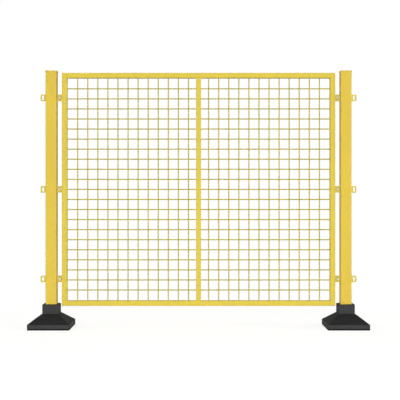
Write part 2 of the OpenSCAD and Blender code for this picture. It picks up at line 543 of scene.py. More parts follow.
@dataclass
class NodeSheet:
    """Draws the nodes of one tree."""

    tree: Tree

    @classmethod
    def fresh(cls, owner: bpy.types.Material | bpy.types.World) -> NodeSheet:
        """Empties the nodes of a material or a world.

        Args:
            owner: The material or the world.

        Returns:
            Its nodes.
        """
        owner.use_nodes = True
        owner.node_tree.nodes.clear()
        return cls(owner.node_tree)

    def add(self, kind: str, settings: dict[str, Setting | Tree] | None = None,
            inputs: dict[str | int, Feed] | None = None) -> Node:
        """Adds a node, sets it and links it.

        Args:
            kind: Blender's name for the node, without the words ShaderNode.
            settings: The node's own values by name.
            inputs: For each input's name or number, the socket that feeds it or its value.

        Returns:
            The new node.
        """
        node = self.tree.nodes.new("ShaderNode" + kind)
        for name, value in (settings or {}).items():
            setattr(node, name, value)
        for name, value in (inputs or {}).items():
            if isinstance(value, Socket):
                self.tree.links.new(value, node.inputs[name])
            else:
                node.inputs[name].default_value = value
        return node

    def place(self, effect: Effect, **inputs: Feed) -> Socket:
        """Places a shared effect. An input called Patch_Size feeds the one called Patch Size."""
        named = {name.replace("_", " "): value for name, value in inputs.items()}
        return self.add("Group", {"node_tree": effect.tree()}, named).outputs[0]

    def object_place(self) -> Socket:
        """The place on the object, in metres."""
        return self.add("TexCoord").outputs["Object"]

    def upward(self) -> Socket:
        """How far the surface faces up, from -1 to 1."""
        normal = self.add("NewGeometry").outputs["Normal"]
        return self.add("SeparateXYZ", inputs={0: normal}).outputs["Z"]

    def maths(self, operation: str, *values: Feed) -> Socket:
        """One step of arithmetic."""
        return self.add("Math", {"operation": operation}, dict(enumerate(values))).outputs[0]

    def remap(self, value: Socket, source: tuple[Feed, Feed], target: tuple[Feed, Feed],
              smooth: bool = False) -> Socket:
        """Stretches a value from one range to another, and stops it at the new range's ends.

        Args:
            value: What is stretched.
            source: The range that it comes in.
            target: The range that it goes out in.
            smooth: Whether the ends are eased.

        Returns:
            The stretched value.
        """
        kind = "SMOOTHSTEP" if smooth else "LINEAR"
        node = self.add("MapRange", {"interpolation_type": kind}, {
            "Value": value, "From Min": source[0], "From Max": source[1],
            "To Min": target[0], "To Max": target[1],
        })
        return node.outputs["Result"]

    def blend(self, share: Feed, under: Feed, over: Feed, kind: str = "MIX") -> Socket:
        """Lays a share of one colour over another.

        Args:
            share: How much of the upper colour is laid on.
            under: The lower colour.
            over: The upper colour.
            kind: Blender's name for the kind of mixing.

        Returns:
            The mixed colour.
        """
        inputs = {MIX_SHARE: share, MIX_UNDER: under, MIX_OVER: over}
        settings = {"data_type": "RGBA", "blend_type": kind}
        return self.add("Mix", settings, inputs).outputs[MIXED]

    def noise(self, size: Feed, detail: float, stretch: Vector | None = None) -> Socket:
        """Cloudy noise on Object coordinates.

        Args:
            size: Size of a cloud in metres.
            detail: How many finer layers it has.
            stretch: Scale of the coordinates along X, Y and Z, for streaks.

        Returns:
            The noise, about 0.3 to 0.7.
        """
        place = self.object_place()
        if stretch is not None:
            place = self.add("Mapping", inputs={"Vector": place, "Scale": stretch}).outputs[0]
        scale = self.maths("DIVIDE", 1.0, size)
        inputs = {"Vector": place, "Scale": scale, "Detail": detail}
        return self.add("TexNoise", inputs=inputs).outputs["Fac"]

    def principled(self, height: Socket, relief: float, inputs: dict[str, Feed]) -> Node:
        """A Principled shader on bumps, whose height of 1 stands for relief in metres."""
        bump = self.add("Bump", inputs={"Strength": 1.0, "Distance": relief, "Height": height})
        return self.add("BsdfPrincipled", inputs={**inputs, "Normal": bump.outputs[0]})


# ---- Effects that several finishes share ----

Drawing = Callable[[NodeSheet, Sockets], Socket]


@dataclass(frozen=True)
class Effect:
    """A shader node group that is built once and placed in each material that uses it.

    Its output is called Color and makes a colour, or has another name and makes a number. The
    inputs come with their first values, of which four numbers make a colour.
    """

    name: str
    output: str
    inputs: dict[str, Setting]
    drawing: Drawing

    def tree(self) -> Tree:
        """The group, built when it is first asked for.

        Returns:
            The group.
        """
        found = bpy.data.node_groups.get(self.name)
        if found:
            return found
        tree = bpy.data.node_groups.new(self.name, "ShaderNodeTree")
        kinds = {True: "NodeSocketColor", False: "NodeSocketFloat"}
        for label, value in self.inputs.items():
            socket = tree.interface.new_socket(
                label, in_out="INPUT", socket_type=kinds[isinstance(value, tuple)])
            socket.default_value = value
        tree.interface.new_socket(
            self.output, in_out="OUTPUT", socket_type=kinds[self.output == "Color"])
        entry, leave = tree.nodes.new("NodeGroupInput"), tree.nodes.new("NodeGroupOutput")
        tree.links.new(self.drawing(NodeSheet(tree), entry.outputs), leave.inputs[0])
        return tree


def effect(name: str, output: str, **inputs: Setting) -> Callable[[Drawing], Effect]:
    """Makes the drawing below it an effect. Patch_Size stands for an input Patch Size."""
    named = {label.replace("_", " "): value for label, value in inputs.items()}
    return lambda drawing: Effect(name, output, named, drawing)


@effect("Tone drift", "Color", Color=(0.8, 0.8, 0.8, 1.0), Patch_Size=0.1, Amount=0.03)
def tone_drift(sheet: NodeSheet, fed: Sockets) -> Socket:
    """Multiplies a colour by clouds of two sizes, a little lighter and darker.

    Args:
        sheet: The group's nodes.
        fed: The group's inputs.

    Returns:
        The drifted colour.
    """
    fine_size, wide_share, fine_share, spread = 0.12, 0.7, 0.3, (0.35, 0.65)
    wide = sheet.noise(fed["Patch Size"], detail=3.0)
    fine = sheet.noise(sheet.maths("MULTIPLY", fed["Patch Size"], fine_size), detail=2.0)
    mixed = sheet.maths("ADD", sheet.maths("MULTIPLY", wide, wide_share),
                        sheet.maths("MULTIPLY", fine, fine_share))
    low, high = (sheet.maths(step, 1.0, fed["Amount"]) for step in ("SUBTRACT", "ADD"))
    factor = sheet.remap(mixed, spread, (low, high))
    return sheet.blend(1.0, fed["Color"], factor, "MULTIPLY")


@effect("Orange peel", "Height", Dimple_Size=0.002)
def orange_peel(sheet: NodeSheet, fed: Sockets) -> Socket:
    """Adds the fine dimples of a sprayed and baked coat to a slower swell.

    Args:
        sheet: The group's nodes.
        fed: The group's inputs.

    Returns:
        The height.
    """
    swell_ratio = 5.0
    swell_size = sheet.maths("MULTIPLY", fed["Dimple Size"], swell_ratio)
    return sheet.maths("ADD", sheet.noise(fed["Dimple Size"], detail=1.0),
                       sheet.noise(swell_size, detail=1.0))


@effect("Edge mask", "Mask", Width=0.0015, Patch_Size=0.02)
def edge_mask(sheet: NodeSheet, fed: Sockets) -> Socket:
    """Finds sharp edges by a normal that is rounded over them, broken up as wear is.

    Args:
        sheet: The group's nodes.
        fed: The group's inputs.

    Returns:
        How close a place is to an edge.
    """
    flat_to_sharp, spread, cover = (0.995, 0.85), (0.42, 0.62), (0.15, 1.0)
    rounded = sheet.add("Bevel", {"samples": 6}, {"Radius": fed["Width"]}).outputs["Normal"]
    plain = sheet.add("NewGeometry").outputs["Normal"]
    facing = sheet.add("VectorMath", {"operation": "DOT_PRODUCT"}, {0: rounded, 1: plain})
    bend = sheet.remap(facing.outputs["Value"], flat_to_sharp, (0.0, 1.0))
    patches = sheet.remap(sheet.noise(fed["Patch Size"], detail=4.0), spread, cover)
    return sheet.maths("MULTIPLY", bend, patches)


@effect("Settled dust", "Mask", Patch_Size=0.05)
def settled_dust(sheet: NodeSheet, fed: Sockets) -> Socket:
    """Lays fine dust on what faces up, in patches.

    Args:
        sheet: The group's nodes.
        fed: The group's inputs.

    Returns:
        How much dust lies in a place.
    """
    steep_to_level, spread, cover = (0.15, 0.95), (0.38, 0.66), (0.25, 1.0)
    lying = sheet.remap(sheet.upward(), steep_to_level, (0.0, 1.0), smooth=True)
    patches = sheet.remap(sheet.noise(fed["Patch Size"], detail=5.0), spread, cover)
    return sheet.maths("MULTIPLY", lying, patches)


@effect("Rub marks", "Mask", Length=0.08)
def rub_marks(sheet: NodeSheet, fed: Sockets) -> Socket:
    """Crosses two sets of faint streaks from handling and keeps only their peaks.

    Args:
        sheet: The group's nodes.
        fed: The group's inputs.

    Returns:
        Where the marks are.
    """
    across, along, peaks = 14, 1, (0.62, 0.75)
    stretches = (Vector((along, along, across)), Vector((across, across, along)))
    sets = [sheet.noise(fed["Length"], detail=2.0, stretch=stretch) for stretch in stretches]
    streaks = sheet.maths("MAXIMUM", *sets)
    return sheet.remap(streaks, peaks, (0.0, 1.0), smooth=True)


@effect("Moulded grain", "Height", Pebble_Size=0.001)
def moulded_grain(sheet: NodeSheet, fed: Sockets) -> Socket:
    """Lays the pebbles that a mould leaves over soft noise.

    Args:
        sheet: The group's nodes.
        fed: The group's inputs.

    Returns:
        The height.
    """
    soft_size, smoothness = 6.0, 0.6
    pebbles = sheet.add("TexVoronoi", {"feature": "SMOOTH_F1"}, {
        "Vector": sheet.object_place(), "Smoothness": smoothness,
        "Scale": sheet.maths("DIVIDE", 1.0, fed["Pebble Size"]),
    }).outputs["Distance"]
    soft = sheet.noise(sheet.maths("MULTIPLY", fed["Pebble Size"], soft_size), detail=3.0)
    return sheet.maths("SUBTRACT", soft, pebbles)


# ---- Finishes ----


@dataclass(frozen=True)
class Weather:
    """How a surface's tone drifts, its edges wear, and dust and rub marks lie on it. On the
    moulding the pale edges are also a painted highlight.

    Patches, widths and lengths are in metres. Drift, wear and dust are shares.
    """

    drift: float
    drift_patch: float
    wear: float
    wear_and_highlight_colour: Colour
    wear_width: float
    wear_patch: float
    dust: float
    dust_colour: Colour
    dust_patch: float
    rub_length: float

    def over(self, sheet: NodeSheet, base: Feed) -> tuple[Socket, Socket, Socket]:
        """Lays the weather over a clean colour.

        Args:
            sheet: The material's nodes.
            base: The clean colour.

        Returns:
            The colour, and the masks of the dust and of the rub marks.
        """
        tone = sheet.place(tone_drift, Color=base, Patch_Size=self.drift_patch,
                           Amount=self.drift)
        edges = sheet.place(edge_mask, Width=self.wear_width, Patch_Size=self.wear_patch)
        dust = sheet.place(settled_dust, Patch_Size=self.dust_patch)
        # Pale edges: wear, and on the moulding also a painted highlight along its edges.
        worn_and_highlit = sheet.blend(sheet.maths("MULTIPLY", edges, self.wear), tone,
                           (*self.wear_and_highlight_colour, 1))
        dusty = sheet.blend(sheet.maths("MULTIPLY", dust, self.dust), worn_and_highlit,
                            (*self.dust_colour, 1))
        return dusty, dust, sheet.place(rub_marks, Length=self.rub_length)


@dataclass(frozen=True)
class Finish:
    """What every finish has: its slot in the record and its place in Blender."""

    slot: str

    def material(self) -> bpy.types.Material:
        """The finish as a material, made when it is first asked for.

        Returns:
            The material.
        """
        name = self.slot + "_look"
        found = bpy.data.materials.get(name)
        if found:
            return found
        made = bpy.data.materials.new(name)
        sheet = NodeSheet.fresh(made)
        sheet.add("OutputMaterial", inputs={"Surface": self.draw(sheet).outputs[0]})
        return made

    def draw(self, sheet: NodeSheet) -> Node:
        """Draws the finish and returns its shader node."""
        raise NotImplementedError


@dataclass(frozen=True)
class PowderCoat(Finish):
    """Baked powder coat on steel, a little uneven and thin on its edges."""

    colour: Colour = (0.785, 0.575, 0.080)
    roughness: float = 0.55
    rub_roughness: float = 0.12
    dust_roughness: float = 0.1
    specular: float = 0.08
    dimple: float = 2.0 * MM
    relief: float = 0.035 * MM
    weather: Weather = Weather(
        drift=0.03, drift_patch=160 * MM, wear=0.45, wear_and_highlight_colour=(0.80, 0.62, 0.10),
        wear_width=1.2 * MM, wear_patch=24 * MM, dust=0.10, dust_colour=(0.62, 0.55, 0.38),
        dust_patch=30 * MM, rub_length=60 * MM,
    )

    def draw(self, sheet: NodeSheet) -> Node:
        """Draws the weathered coat over its orange peel.

        Args:
            sheet: The material's nodes.

        Returns:
            The shader node.
        """
        colour, dust, marks = self.weather.over(sheet, (*self.colour, 1))
        rubbed = (self.roughness, self.roughness + self.rub_roughness)
        rough = sheet.maths("ADD", sheet.remap(marks, (0.0, 1.0), rubbed),
                            sheet.maths("MULTIPLY", dust, self.dust_roughness))
        peel = sheet.place(orange_peel, Dimple_Size=self.dimple)
        return sheet.principled(peel, self.relief, {
            "Base Color": colour, "Roughness": rough, "Specular IOR Level": self.specular,
        })


@dataclass(frozen=True)
class BlackMoulding(Finish):
    """Grained black plastic or rubber with pale edges that are scuffed and carry a painted
    highlight, and painted shade on its slopes.
    """

    colour: Colour = (0.056, 0.055, 0.057)
    # Painted shade: share of the colour left on faces that turn up, for the shade the light leaves
    # on the slopes.
    painted_slope_shade: float = 0.44
    painted_shade_facing: tuple[float, float] = (0.35, 0.7)
    roughness: float = 0.68
    grain_roughness: tuple[float, float] = (0.08, -0.06)
    grain_heights: tuple[float, float] = (-0.4, 0.6)
    specular: float = 0.03
    pebble: float = 1.1 * MM
    relief: float = 0.045 * MM
    rub_share: float = 0.25
    weather: Weather = Weather(
        # The pale edge colour here is partly wear and partly a painted highlight along the
        # moulding's edges.
        drift=0.10, drift_patch=60 * MM, wear=0.5, wear_and_highlight_colour=(0.115, 0.113, 0.115),
        wear_width=1.6 * MM, wear_patch=18 * MM, dust=0.02, dust_colour=(0.17, 0.165, 0.155),
        dust_patch=24 * MM, rub_length=45 * MM,
    )

    def draw(self, sheet: NodeSheet) -> Node:
        """Draws the weathered moulding over its grain, with painted shade on its slopes.

        Args:
            sheet: The material's nodes.

        Returns:
            The shader node.
        """
        # Painted shade: faces that turn up get the darker slope colour.
        painted_shade_mask = sheet.remap(sheet.upward(), self.painted_shade_facing, (0.0, 1.0), smooth=True)
        painted_shade_colour = tuple(part * self.painted_slope_shade for part in self.colour)
        base = sheet.blend(painted_shade_mask, (*self.colour, 1), (*painted_shade_colour, 1))
        colour, _, marks = self.weather.over(sheet, base)
        rubbed = sheet.blend(sheet.maths("MULTIPLY", marks, self.rub_share), colour,
                             (*self.weather.wear_and_highlight_colour, 1))
        grain = sheet.place(moulded_grain, Pebble_Size=self.pebble)
        rough = sheet.remap(grain, self.grain_heights,
                            tuple(self.roughness + change for change in self.grain_roughness))
        return sheet.principled(grain, self.relief, {
            "Base Color": rubbed, "Roughness": rough, "Specular IOR Level": self.specular,
        })


@dataclass(frozen=True)
class ZincPlate(Finish):
    """Bright zinc plating, clouded a little by handling."""

    colour: Colour = (0.86, 0.84, 0.76)
    dull_colour: Colour = (0.70, 0.685, 0.61)
    dull_share: float = 0.8
    roughness: float = 0.42
    dull_roughness: float = 0.22
    cloud: float = 5.0 * MM
    cloud_spread: tuple[float, float] = (0.38, 0.66)
    turning_mark: float = 0.8 * MM
    scratch: float = 0.02 * MM

    def draw(self, sheet: NodeSheet) -> Node:
        """Draws bright metal with dull clouds and fine turning marks.

        Args:
            sheet: The material's nodes.

        Returns:
            The shader node.
        """
        clouds = sheet.remap(sheet.noise(self.cloud, detail=4.0), self.cloud_spread,
                             (0.0, self.dull_share), smooth=True)
        rough = sheet.remap(clouds, (0.0, 1.0),
                            (self.roughness, self.roughness + self.dull_roughness))
        return sheet.principled(sheet.noise(self.turning_mark, detail=3.0), self.scratch, {
            "Base Color": sheet.blend(clouds, (*self.colour, 1), (*self.dull_colour, 1)),
            "Metallic": 1.0, "Roughness": rough,
        })


def mount(obj: Piece, name: str, finish: Finish, stands_for: Sequence[str] = (),
          body: Body = Body.FENCE) -> None:
    """Gives a finished piece its name and its coat and puts it on its body.

    Args:
        obj: The piece.
        name: Its name.
        finish: Its finish.
        stands_for: The CAD nodes whose place it takes.
        body: The body that it rides on.
    """
    obj.name = name
    obj.data.materials.clear()
    obj.data.materials.append(finish.material())
    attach(obj, body.value)
    if stands_for:
        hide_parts(*stands_for)
    log.info("%s: %d faces, on %s", obj.name, len(obj.data.polygons), body.value)


def mount_pair(left: Piece, name: str, finish: Finish, node: str = "",
               bodies: tuple[Body, Body] = (Body.FENCE, Body.FENCE)) -> None:
    """Mounts a left piece and its mirror image on the right.

    Args:
        left: The piece.
        name: Name of both, without their side.
        finish: Finish of both.
        node: The CAD nodes whose place they take, without their side, or nothing.
        bodies: The bodies that the left and the right piece ride on.
    """
    right = mirror_of(left)
    shade(right)
    for obj, side, body in zip((left, right), ("_left", "_right"), bodies):
        mount(obj, name + side, finish, [node + side] if node else (), body)


# ---- Sub-assemblies ----


@dataclass
class Bases:
    """The two moulded bases, each with its rubber pad."""

    moulding: Finish
    rubber: Finish
    skirt_height: float = 23 * MM
    skirt_chamfer: float = 2 * MM
    skirt_radius: float = 8 * MM
    slope_height: float = 48 * MM
    collar_wall_x: float = 14 * MM
    collar_wall_y: float = 21 * MM
    collar_radius: float = 7 * MM
    collar_chamfer: float = 1.5 * MM
    socket_play: float = 1 * MM
    socket_radius: float = 3.5 * MM
    lead_in: float = 1.5 * MM
    edge: float = 0.9 * MM
    pad_edge: float = 1.2 * MM
    pad_edge_steps: int = 3

    def build(self) -> None:
        """Builds the left base and pad and mounts them with their mirror images."""
        bodies = (Body.BASE_LEFT, Body.BASE_RIGHT)
        mount_pair(self.moulded_base(), "moulded_base", self.moulding, "base", bodies)
        mount_pair(self.rubber_pad(), "rubber_pad", self.rubber, "foot_pad", bodies)

    def moulded_base(self) -> Piece:
        """Lofts skirt, slopes, collar and socket as one skin.

        Returns:
            The left base.
        """
        box, post = cad_box("base_left"), cad_box("post_left")
        socket_side = post.size.x + 2 * self.socket_play
        collar_x = socket_side + 2 * self.collar_wall_x
        collar_y = socket_side + 2 * self.collar_wall_y
        skirt = Outline(box.centre, box.size, self.skirt_radius)
        waist = skirt.shrunk(self.skirt_chamfer, self.skirt_radius)
        collar = Outline(post.centre, Vector((collar_x, collar_y, collar_y)), self.collar_radius)
        rim = collar.shrunk(self.collar_chamfer, self.collar_radius - self.collar_chamfer / 2)
        mouth = Outline.square(post.centre, socket_side + 2 * self.lead_in,
                               self.socket_radius + self.lead_in)
        socket = Outline.square(post.centre, socket_side, self.socket_radius)
        skirt_top = box.low.z + self.skirt_height
        base = loft(Axis.Z, [
            (skirt, box.low.z),
            (skirt, skirt_top - self.skirt_chamfer),
            (waist, skirt_top),
            (collar, skirt_top + self.slope_height),
            (collar, box.high.z - self.collar_chamfer),
            (rim, box.high.z),
            (mouth, box.high.z),
            (socket, box.high.z - self.lead_in),
            (socket, post.low.z),
        ])
        soften(base, self.edge)
        return base

    def rubber_pad(self) -> Piece:
        """Lofts the pad and rounds its edges.

        Returns:
            The left pad.
        """
        box = cad_box("foot_pad_left")
        outline = Outline(box.centre, box.size, self.skirt_radius)
        pad = loft(Axis.Z, [(outline, box.low.z), (outline, box.high.z)])
        soften(pad, self.pad_edge, self.pad_edge_steps)
        return pad


@dataclass
class Posts:
    """The two square posts and their caps."""

    coat: Finish
    cap_coat: Finish
    wall: float = 2.5 * MM
    radius: float = 4.5 * MM
    edge: float = 0.4 * MM
    plug_wall: float = 3 * MM
    plug_play: float = 0.3 * MM
    cap_round: float = 2.5 * MM
    cap_round_steps: int = 4
    cap_crown: float = 1.2 * MM
    crown_size: float = 14 * MM
    cap_edge: float = 0.35 * MM

    def build(self) -> None:
        """Builds the left post and cap and mounts them with their mirror images."""
        post = tube(cad_box("post_left"), Axis.Z, self.wall, self.radius)
        soften(post, self.edge)
        mount_pair(post, "post_tube", self.coat, "post")
        mount_pair(self.cap(), "post_cap_shell", self.cap_coat, "post_cap")

    def cap(self) -> Piece:
        """Lofts a cap with a rounded edge, a shallow crown and a hollow plug.

        Returns:
            The left cap.
        """
        box, post = cad_box("post_cap_left"), cad_box("post_left")
        seat = post.high.z
        plate = Outline(box.centre, box.size, self.radius)
        plug_side = post.size.x - 2 * (self.wall + self.plug_play)
        plug = Outline.square(box.centre, plug_side, self.radius - self.wall)
        hollow = plug.shrunk(self.plug_wall, self.radius - self.wall)
        rings = [(hollow, seat), (hollow, box.low.z), (plug, box.low.z), (plug, seat),
                 (plate, seat)]
        shoulder = box.high.z - self.cap_crown - self.cap_round
        for step in range(self.cap_round_steps + 1):
            angle = QUARTER_TURN * step / self.cap_round_steps
            drawn_in = self.cap_round * (1 - math.cos(angle))
            height = shoulder + self.cap_round * math.sin(angle)
            rings.append((plate.shrunk(drawn_in, self.radius - drawn_in / 2), height))
        rings.append((Outline.square(box.centre, self.crown_size, self.radius), box.high.z))
        cap = loft(Axis.Z, rings)
        soften(cap, self.cap_edge)
        return cap


def ear_heights(box: Box, height: float) -> list[float]:
    """Middle heights of the ears, or of what is this high and sits on them in this box."""
    return [box.low.z + height / 2, cad_box("stile_left").centre.z, box.high.z - height / 2]


@dataclass
class Ears:
    """The slotted ears of the posts and of the panel, with their weld beads."""

    coat: Finish
    height: float = 36 * MM
    corner: float = 5 * MM
    weld_corner: float = 0.3 * MM
    slot_width: float = 10 * MM
    slot_length: float = 24 * MM
    level_slot_length: float = 18 * MM
    outer_slot_offset: float = 16.5 * MM
    edge: float = 0.5 * MM
    bead_size: float = 2.6 * MM
    bead_drop: float = 1.5 * MM

    def build(self) -> None:
        """Builds the left ears and mounts them with their mirror images."""
        post, panel = cad_box("post_left"), cad_box("stile_left")
        outer, inner, hung = (cad_box(name + "_ears_left") for name in ("outer", "inner", "panel"))
        gap_middle = (post.high.x + panel.low.x) / 2
        outer_slot = post.low.x - self.outer_slot_offset
        upright = Vector((self.slot_width, 0, self.slot_length))
        level = Vector((self.level_slot_length, 0, self.slot_width))
        for name, box, weld_x, slot_x, slot_size, faces in (
            ("outer", outer, post.low.x, outer_slot, upright, (outer.low.y, outer.high.y)),
            ("inner", inner, post.high.x, gap_middle, upright, (inner.low.y,)),
            ("panel", hung, panel.low.x, gap_middle, level, (hung.high.y,)),
        ):
            plates = self.plates(box, weld_x, slot_x, slot_size)
            mount_pair(plates, "ears_" + name, self.coat, name + "_ears")
            mount_pair(self.beads(box, weld_x, faces), "ear_welds_" + name, self.coat)

    def plates(self, box: Box, weld_x: float, slot_x: float, slot_size: Vector) -> Piece:
        """Lofts one slotted plate round its slot and copies it to the other heights.

        Args:
            box: Box of the whole group.
            weld_x: Where the plates are welded on.
            slot_x: Middle of the slots.
            slot_size: Their width and height.

        Returns:
            The three plates as one object.
        """
        heights = ear_heights(box, self.height)
        radii = (self.corner, self.weld_corner)
        if weld_x < box.centre.x:
            radii = radii[::-1]
        centre = Vector((box.centre.x, 0, heights[0]))
        plate = Outline(centre, Vector((box.size.x, 0, self.height)), *radii)
        slot = Outline(Vector((slot_x, 0, heights[0])), slot_size, self.slot_width / 2)
        front, rear = box.low.y, box.high.y
        rings = [(plate, front), (plate, rear), (slot, rear), (slot, front)]
        first = loft(Axis.Y, rings, closed=True)
        soften(first, self.edge)
        return stack(first, heights)

    def beads(self, box: Box, weld_x: float, faces: Sequence[float]) -> Piece:
        """Runs a weld bead up each ear where it meets its tube.

        Args:
            box: Box of the ears.
            weld_x: Where the ears are welded on.
            faces: The Y of each plate face that has a bead.

        Returns:
            All beads as one object.
        """
        heights = ear_heights(box, self.height)
        reach = Axis.Z.vector(self.height / 2 - self.bead_drop)
        radii = Vector((self.bead_size, self.bead_size, self.bead_drop))
        middles = [Vector((weld_x, y, heights[0])) for y in faces]
        made = [bead(middle - reach, middle + reach, radii) for middle in middles]
        return stack(join(made), heights)


@dataclass
class PanelFrame:
    """The mitred frame of the panel and its centre bar."""

    coat: Finish
    wall: float = 2 * MM
    radius: float = 3 * MM
    seam: float = 2.4 * MM
    seam_rise: float = 0.5 * MM
    seam_inset: float = 0.7
    seam_overrun: float = 0.3
    fillet: float = 2.8 * MM
    drop: float = 1.5 * MM
    bar_fillet_share: float = 0.8

    def build(self) -> None:
        """Builds stiles, rails, bar and welds and mounts them."""
        left, top = cad_box("stile_left"), cad_box("rail_top")
        corner = Vector((left.low.x, 0, top.high.z))
        other_corner = Vector((-corner.x, 0, corner.z))
        foot = Vector((left.low.x, 0, left.low.z))
        rising, falling = Vector((1, 0, 1)), Vector((1, 0, -1))
        stile = self.bar(left, Axis.Z, ((corner, rising), (foot, falling)))
        rail = self.bar(top, Axis.X, ((corner, -rising), (other_corner, falling)))
        other_rail = mirror_of(rail, Axis.Z, left.centre.z)
        shade(other_rail)
        mount_pair(stile, "stile_tube", self.coat, "stile")
        mount(rail, "rail_tube_top", self.coat, ["rail_top"])
        mount(other_rail, "rail_tube_bottom", self.coat, ["rail_bottom"])
        bar = self.bar(cad_box("centre_bar"), Axis.Z)
        mount(bar, "centre_bar_tube", self.coat, ["centre_bar"])
        for name, welds in (("corner_welds", self.corner_welds()), ("bar_welds", self.bar_welds())):
            shade(welds)
            mount(welds, name, self.coat)

    def bar(self, box: Box, along: Axis, cuts: Sequence[tuple[Vector, Vector]] = ()) -> Piece:
        """Models one tube of the frame.

        Args:
            box: The space that it fills.
            along: The axis that it runs along.
            cuts: For each mitre, a point on it and the way towards what it cuts off.

        Returns:
            The tube.
        """
        made = tube(box, along, self.wall, self.radius)
        for corner, away in cuts:
            cut_mitre(made, corner, away)
        shade(made)
        return made

    def corner_welds(self) -> Piece:
        """Runs the seams over both faces of a mitre and the fillet inside it, at all corners.

        Returns:
            The welds of the four corners as one object.
        """
        left, top = cad_box("stile_left"), cad_box("rail_top")
        outer = Vector((left.low.x, 0, top.high.z))
        inner = Vector((left.high.x, 0, top.low.z))
        inset = Vector((self.radius, 0, -self.radius)) * self.seam_inset
        flat = Vector((self.seam, self.seam_rise, self.seam))
        made = []
        for y in (left.low.y, left.high.y):
            face = Axis.Y.vector(y)
            end = inner - inset * self.seam_overrun + face
            made.append(bead(outer + inset + face, end, flat))
        reach = Axis.Y.vector(left.size.y / 2 - 2 * self.radius)
        round_in = Vector((self.fillet, self.drop, self.fillet))
        made.append(bead(inner - reach, inner + reach, round_in))
        upper = join(made)
        half = join([upper, mirror_of(upper, Axis.Z, left.centre.z)])
        return join([half, mirror_of(half)])

    def bar_welds(self) -> Piece:
        """Runs fillets down both sides and across the back of the bar's ends.

        Returns:
            The welds of both ends as one object.
        """
        bar = cad_box("centre_bar")
        along_side = Vector((self.fillet, self.drop, self.fillet)) * self.bar_fillet_share
        along_back = Vector((self.drop, self.fillet, self.fillet)) * self.bar_fillet_share
        z = bar.low.z
        made = []
        for x in (bar.low.x, bar.high.x):
            front = Vector((x, bar.low.y + self.radius, z))
            back = Vector((x, bar.high.y - self.drop, z))
            made.append(bead(front, back, along_side))
        middle = Vector((0, bar.high.y, z))
        reach = Axis.X.vector(bar.size.x / 2 - self.drop)
        made.append(bead(middle - reach, middle + reach, along_back))
        lower = join(made)
        return join([lower, mirror_of(lower, Axis.Z, bar.centre.z)])


@dataclass(frozen=True)
class WireLayer:
    """One layer of the mesh: alike wires side by side."""

    name: str
    along: Axis
    across: Axis
    pitch: float

    @property
    def box(self) -> Box:
        """The space that the layer fills."""
        return cad_box(self.name + "_wires")

    @property
    def radius(self) -> float:
        """Radius of a wire."""
        return self.box.size.y / 2

    @property
    def length(self) -> float:
        """Length of a wire."""
        return self.box.size[self.along.value]

    @property
    def start(self) -> Vector:
        """Middle of the first wire's low end."""
        low = Vector((self.box.low.x, self.box.centre.y, self.box.low.z))
        return low + self.across.vector(self.radius)

    def spread(self, obj: Piece) -> None:
        """Repeats what belongs to the first wire at all wires."""
        span = self.box.size[self.across.value] - 2 * self.radius
        repeat(obj, round(span / self.pitch) + 1, self.across.vector(self.pitch))


@dataclass
class Mesh:
    """The welded wire mesh."""

    coat: Finish
    pitch: float = 55 * MM
    wire_sides: int = 16
    nugget: Vector = field(default_factory=lambda: Vector((2.8, 1.8, 2.8)) * MM)
    nugget_facets: tuple[int, int] = (8, 5)
    end_weld: Vector = field(default_factory=lambda: Vector((4.3, 4.3, 2.0)) * MM)
    end_weld_facets: tuple[int, int] = (12, 6)

    def build(self) -> None:
        """Builds both layers of wires and their welds and mounts them."""
        for layer in self.layers:
            wires = rod(layer.start, layer.length, layer.along, layer.radius, self.wire_sides)
            layer.spread(wires)
            shade(wires)
            mount(wires, "wires_" + layer.name, self.coat, [layer.name + "_wires"])
        for place, welds in (("crossing", self.crossing_welds()), ("end", self.end_welds())):
            shade(welds)
            mount(welds, f"wire_{place}_welds", self.coat)

    @property
    def layers(self) -> tuple[WireLayer, WireLayer]:
        """The upright wires, and the cross wires behind them."""
        return (WireLayer("upright", Axis.Z, Axis.X, self.pitch),
                WireLayer("cross", Axis.X, Axis.Z, self.pitch))

    def crossing_welds(self) -> Piece:
        """Puts a weld nugget between the two wires at each crossing.

        Returns:
            All nuggets as one object.
        """
        uprights, crosses = self.layers
        first = Vector((uprights.start.x, uprights.box.high.y, crosses.start.z))
        nuggets = blob(first, self.nugget, self.nugget_facets)
        uprights.spread(nuggets)
        crosses.spread(nuggets)
        return nuggets

    def end_welds(self) -> Piece:
        """Puts a ring of weld metal where each wire meets the frame.

        Returns:
            All rings as one object.
        """
        made = []
        for layer, radii in zip(self.layers, (self.end_weld, self.end_weld.zyx)):
            rings = blob(layer.start, radii, self.end_weld_facets)
            layer.spread(rings)
            repeat(rings, 2, layer.along.vector(layer.length))
            made.append(rings)
        return join(made)


